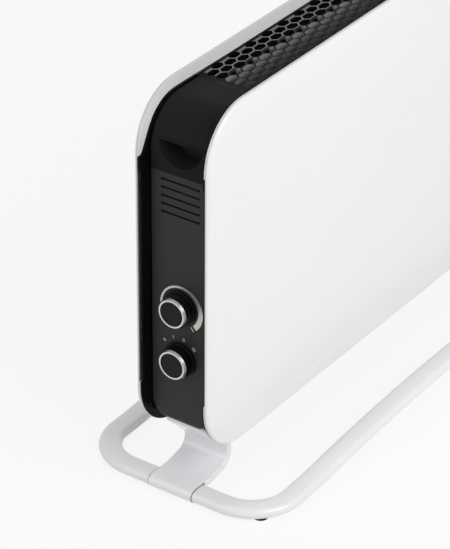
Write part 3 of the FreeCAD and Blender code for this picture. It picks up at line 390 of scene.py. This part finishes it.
def turned_circles():
    """Fine circles round a knob's own axis, which runs along X at the given height."""
    tree, start, end = effect("turned_circles", {"Scale": 600.0, "Axis Height": 0.0}, ["Height"])
    place = tree.nodes.new("ShaderNodeTexCoord")
    axis = tree.nodes.new("ShaderNodeCombineXYZ")
    move = tree.nodes.new("ShaderNodeVectorMath")
    move.operation = "SUBTRACT"
    wave = tree.nodes.new("ShaderNodeTexWave")
    wave.wave_type = "RINGS"
    wave.rings_direction = "X"
    wave.inputs["Distortion"].default_value = 0.4
    wave.inputs["Detail"].default_value = 1.0
    tree.links.new(start.outputs["Axis Height"], axis.inputs["Z"])
    tree.links.new(place.outputs["Object"], move.inputs[0])
    tree.links.new(axis.outputs["Vector"], move.inputs[1])
    tree.links.new(move.outputs["Vector"], wave.inputs["Vector"])
    tree.links.new(start.outputs["Scale"], wave.inputs["Scale"])
    tree.links.new(wave.outputs["Fac"], end.inputs["Height"])
    return tree


turned = turned_circles()


def middle(node):
    """Middle of a solid's box."""
    low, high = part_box(node)
    return (low + high) / 2


for control in ("thermostat", "selector"):
    axis_height = middle(control + "_knob").z

    ring = Finish(control + "_ring_metal", roughness=0.26, metallic=1.0)
    ring_lines = ring.group(turned, Scale=900.0, Axis_Height=axis_height)
    ring.two_colours(ring_lines.outputs["Height"], linear(202, 200, 197), linear(212, 210, 207))
    ring.relief(ring_lines.outputs["Height"], depth=0.000003)
    # Painted shade: the ring's bevel, picked out by the way it faces, is a darker grey than the bright lip.
    bevel_painted_shade = mask_between(ring, facing(ring)["X"], lip_facing, bevel_facing)
    tint(ring, bevel_painted_shade, linear(150, 149, 147))
    ring.cover(control + "_knob_ring")

    disc = Finish(control + "_disc_grey", roughness=0.6, shine=0.1)
    disc_lines = disc.group(turned, Scale=500.0, Axis_Height=axis_height)
    disc.two_colours(disc_lines.outputs["Height"], linear(28, 28, 28), linear(32, 32, 32))
    disc.relief(disc_lines.outputs["Height"], depth=0.00001)
    disc.cover(control + "_knob_disc")

knob = moulding("knob_black", linear(15, 15, 15), linear(20, 20, 20),
                roughness=0.4, grain_scale=1600.0, grain_depth=0.00001, shine=0.12)
knob.cover("thermostat_knob", "selector_knob")


# Thermostat scale: a thin bright crescent let into the end cap round the upper knob, with a bar past its
# hot end. It is pressed metal foil with a satin face.
foil = Finish("scale_foil", roughness=0.4, metallic=1.0)
foil_grain = foil.group(grain, Scale=3000.0, Patch_Scale=60.0)
foil.two_colours(foil_grain.outputs["Tone"], linear(176, 175, 172), linear(206, 205, 202))
foil.relief(foil_grain.outputs["Height"], depth=0.00001)
foil.cover("thermostat_scale")


# Selector marks: 0, I, II and III printed in pale grey on the end cap, round the lower knob.
# Each stands outward from a centre a little behind the knob's axis, and the ink is a thin even layer.
mark_radius = 0.0235
mark_height = 0.0034
mark_angles = (-48, -18, 12.5, 46.5)
mark_shift = 0.0013
stroke = 0.00078
bar_pitch = 1.9 * stroke
nought_half_width = 0.0013
nought_sides = 28
ink_depth = 0.00006
weld = 1e-7
cap_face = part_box("left_end_cap")[0].x
dial = middle("selector_knob")


def mark_outlines(count):
    """Closed outlines of one mark, across and up from its middle. Count 0 is the ring of a nought."""
    up = mark_height / 2
    if count:
        half = stroke / 2
        steps = [(i - (count - 1) / 2) * bar_pitch for i in range(count)]
        return [[(x - half, -up), (x + half, -up), (x + half, up), (x - half, up)] for x in steps]
    outer = []
    inner = []
    for i in range(nought_sides + 1):
        angle = 2 * math.pi * i / nought_sides
        outer.append((nought_half_width * math.cos(angle), up * math.sin(angle)))
        inner.append(((nought_half_width - stroke) * math.cos(angle), (up - stroke) * math.sin(angle)))
    return [[outer[i], outer[i + 1], inner[i + 1], inner[i]] for i in range(nought_sides)]


ink = Finish("mark_ink", roughness=0.55)
ink_grain = ink.group(grain, Scale=4000.0, Patch_Scale=900.0)
ink.two_colours(ink_grain.outputs["Tone"], linear(168, 168, 166), linear(206, 206, 203))

for count, degrees in enumerate(mark_angles):
    angle = math.radians(degrees)
    mesh = bmesh.new()
    for corners in mark_outlines(count):
        points = []
        for across, up in corners:
            right = across * math.cos(angle) + (mark_radius + up) * math.sin(angle)
            rise = (mark_radius + up) * math.cos(angle) - across * math.sin(angle)
            points.append((dial.y + mark_shift - right, dial.z + rise))
        front = [mesh.verts.new((cap_face - ink_depth, y, z)) for y, z in points]
        back = [mesh.verts.new((cap_face, y, z)) for y, z in points]
        mesh.faces.new(front)
        mesh.faces.new(back[::-1])
        for i in range(len(points)):
            j = (i + 1) % len(points)
            mesh.faces.new((front[j], front[i], back[i], back[j]))
    bmesh.ops.remove_doubles(mesh, verts=mesh.verts, dist=weld)
    bmesh.ops.recalc_face_normals(mesh, faces=mesh.faces)
    data = bpy.data.meshes.new("selector_mark_" + str(count))
    mesh.to_mesh(data)
    mesh.free()
    mark = bpy.data.objects.new("selector_mark_" + str(count), data)
    bpy.context.scene.collection.objects.link(mark)
    data.materials.append(ink.material)
    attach(mark, "heater")


# Shells: two pressed steel panels, crowned near the edges and rolled round them, sprayed and baked in glossy
# white. Rear screws and front studs hold them to the end plates.
# Along the rolled rim the white is painted a warm grey as shade, but not on the inner faces of the folded
# flanges.
rim_start = 0.03825
rim_fade = 0.0395
rim_end = 0.0405


def enamel(name, low, high, roughness):
    """Baked glossy coat: faint orange peel and a slow drift in tone."""
    coat = Finish(name, roughness)
    peel = coat.group(grain, Scale=260.0, Patch_Scale=5.0)
    coat.two_colours(peel.outputs["Tone"], low, high)
    coat.uneven_gloss(peel.outputs["Tone"], low=roughness - 0.03, high=roughness + 0.05)
    coat.relief(peel.outputs["Height"], depth=0.00002)
    coat.shader.inputs["Coat Weight"].default_value = 0.3
    coat.shader.inputs["Coat Roughness"].default_value = 0.08
    return coat


shell = enamel("shell_enamel", linear(238, 237, 237), linear(242, 241, 241), roughness=0.24)
shell_side = shell.add("ShaderNodeMath", operation="ABSOLUTE")
shell.join(split(shell, shell.place())["Y"], shell_side.inputs[0])
# Painted shade: a warm grey band along the rolled rim, leaving out the flanges.
shell_rim_painted_shade = mask_between(shell, shell_side.outputs["Value"], rim_end, rim_fade)
past_flange = shell.group(zone, Y_Least=rim_start)
tint(shell, product(shell, shell_rim_painted_shade, past_flange.outputs["Mask"]), linear(208, 201, 190))
shell.cover("front_panel", "rear_panel")


# Base: two bent flat-oval tubes make a ring under the casing, joined by cast brackets that hook up to the
# end plates. Tubes and castings have a white coat like the shells', a little cooler, and stand on four
# rubber pads. Where a tube goes into its bracket, a dark grey band on the bracket's edge is painted shade.
socket_reach = 0.3115
socket_edge = 0.0257

tube = enamel("base_enamel", linear(234, 233, 236), linear(240, 239, 242), roughness=0.3)
tube.cover("front_rail", "rear_rail")
casting = enamel("bracket_enamel", linear(236, 235, 238), linear(242, 241, 244), roughness=0.3)
joint_painted_shade = casting.group(zone, X_Least=socket_reach, Y_Least=socket_edge)
# Painted shade: a dark grey band on the bracket's edge where the tube goes in.
tint(casting, joint_painted_shade.outputs["Mask"], linear(112, 110, 112))
casting.cover("left_bracket", "right_bracket")
pad = moulding("pad_rubber", linear(24, 24, 24), linear(34, 34, 34),
               roughness=0.8, grain_scale=1200.0, grain_depth=0.00006, shine=0.2)
pad.cover("foot_pads")


# Fasteners: pan screws, stud nuts and locking screws that hold the shells, caps, brackets and rails.
# They are cold-headed steel with a thin bright zinc plating, and most of them sit inside or at the rear.
plating = drawn_metal("screw_zinc", linear(158, 160, 162), linear(196, 198, 200), roughness=0.34)
plating.cover("bracket_screws", "rail_screws", "rear_panel_screws")
plating.cover("front_panel_nuts", "end_cap_screws", "handle_screws")


# Floor: a wide sheet of matt white paper that the heater stands on and that takes its soft shadow.
# To the camera and in reflections it is nearly as white as the room behind it.
floor_reach = 6.0
floor_whiteness = 0.86


def seen_white(tree):
    """Share of 1 for rays from the camera, mirrors and glass, else 0."""
    path = tree.nodes.new("ShaderNodeLightPath")
    first = tree.nodes.new("ShaderNodeMath")
    first.operation = "MAXIMUM"
    second = tree.nodes.new("ShaderNodeMath")
    second.operation = "MAXIMUM"
    tree.links.new(path.outputs["Is Camera Ray"], first.inputs[0])
    tree.links.new(path.outputs["Is Glossy Ray"], first.inputs[1])
    tree.links.new(first.outputs["Value"], second.inputs[0])
    tree.links.new(path.outputs["Is Transmission Ray"], second.inputs[1])
    return second.outputs["Value"]


floor_mesh = bpy.data.meshes.new("floor")
floor_signs = ((-1, -1), (1, -1), (1, 1), (-1, 1))
floor_mesh.from_pydata([(x * floor_reach, y * floor_reach, 0) for x, y in floor_signs], [], [(0, 1, 2, 3)])
floor = bpy.data.objects.new("floor", floor_mesh)
bpy.context.scene.collection.objects.link(floor)
paper = Finish("floor_paper", roughness=0.9, shine=0.0)
paper.shader.inputs["Base Color"].default_value = linear(236, 236, 236)
white = paper.add("ShaderNodeEmission")
blend = paper.add("ShaderNodeMixShader")
share = paper.add("ShaderNodeMath", operation="MULTIPLY")
share.inputs[1].default_value = floor_whiteness
paper.join(seen_white(paper.tree), share.inputs[0])
paper.join(share.outputs["Value"], blend.inputs["Fac"])
paper.join(paper.shader.outputs["BSDF"], blend.inputs[1])
paper.join(white.outputs["Emission"], blend.inputs[2])
paper.join(blend.outputs["Shader"], paper.tree.nodes["Material Output"].inputs["Surface"])
floor_mesh.materials.append(paper.material)


# Studio: an even pale room with two softboxes, which are cloth-fronted boxes on stands.
# A broad one stands high in front, and a smaller, weaker one lights the control end from its upper left.
room_strength = 0.52
white_strength = 1.0
room = bpy.data.worlds.new("room")
bpy.context.scene.world = room
room.use_nodes = True
room_tree = room.node_tree
room_light = room_tree.nodes["Background"]
room_white = room_tree.nodes.new("ShaderNodeBackground")
for background, strength in ((room_light, room_strength), (room_white, white_strength)):
    background.inputs["Color"].default_value = (1.0, 1.0, 1.0, 1.0)
    background.inputs["Strength"].default_value = strength
room_blend = room_tree.nodes.new("ShaderNodeMixShader")
room_tree.links.new(seen_white(room_tree), room_blend.inputs["Fac"])
room_tree.links.new(room_light.outputs["Background"], room_blend.inputs[1])
room_tree.links.new(room_white.outputs["Background"], room_blend.inputs[2])
room_tree.links.new(room_blend.outputs["Shader"], room_tree.nodes["World Output"].inputs["Surface"])


def softbox(name, place, aim, width, height, power):
    """Rectangular lamp at place that faces aim."""
    data = bpy.data.lights.new(name, "AREA")
    data.shape = "RECTANGLE"
    data.size = width
    data.size_y = height
    data.energy = power
    lamp = bpy.data.objects.new(name, data)
    lamp.location = place
    lamp.rotation_euler = (Vector(aim) - Vector(place)).to_track_quat("-Z", "Y").to_euler()
    bpy.context.scene.collection.objects.link(lamp)


softbox("key", place=(-0.4, -2.4, 1.9), aim=(-0.1, 0.0, 0.25), width=2.0, height=1.8, power=42.0)
softbox("fill", place=(-2.2, 0.8, 1.1), aim=(-0.3, 0.0, 0.2), width=1.2, height=1.0, power=7.0)


# Camera: a long lens from the control end, above and in front, as the heater was photographed.
# It stands on a tripod whose head leans over by a third of a degree.
camera_place = (-2.2962, -1.4291, 1.7096)
heading = math.radians(34.81)
tilt = math.radians(30.91)
lean = math.radians(0.36)
focal_pixels = 3000.0
frame_height = 549.0
sensor_size = 36.0
sight = Vector((math.cos(tilt) * math.cos(heading), math.cos(tilt) * math.sin(heading), -math.sin(tilt)))
lens = bpy.data.cameras.new("camera")
lens.sensor_width = sensor_size
lens.lens = focal_pixels / frame_height * sensor_size
camera = bpy.data.objects.new("camera", lens)
camera.location = camera_place
level = sight.to_track_quat("-Z", "Y")
camera.rotation_euler = (level @ Quaternion((0.0, 0.0, 1.0), lean)).to_euler()
bpy.context.scene.collection.objects.link(camera)
bpy.context.scene.camera = camera
bpy.context.scene.view_settings.view_transform = "Standard"
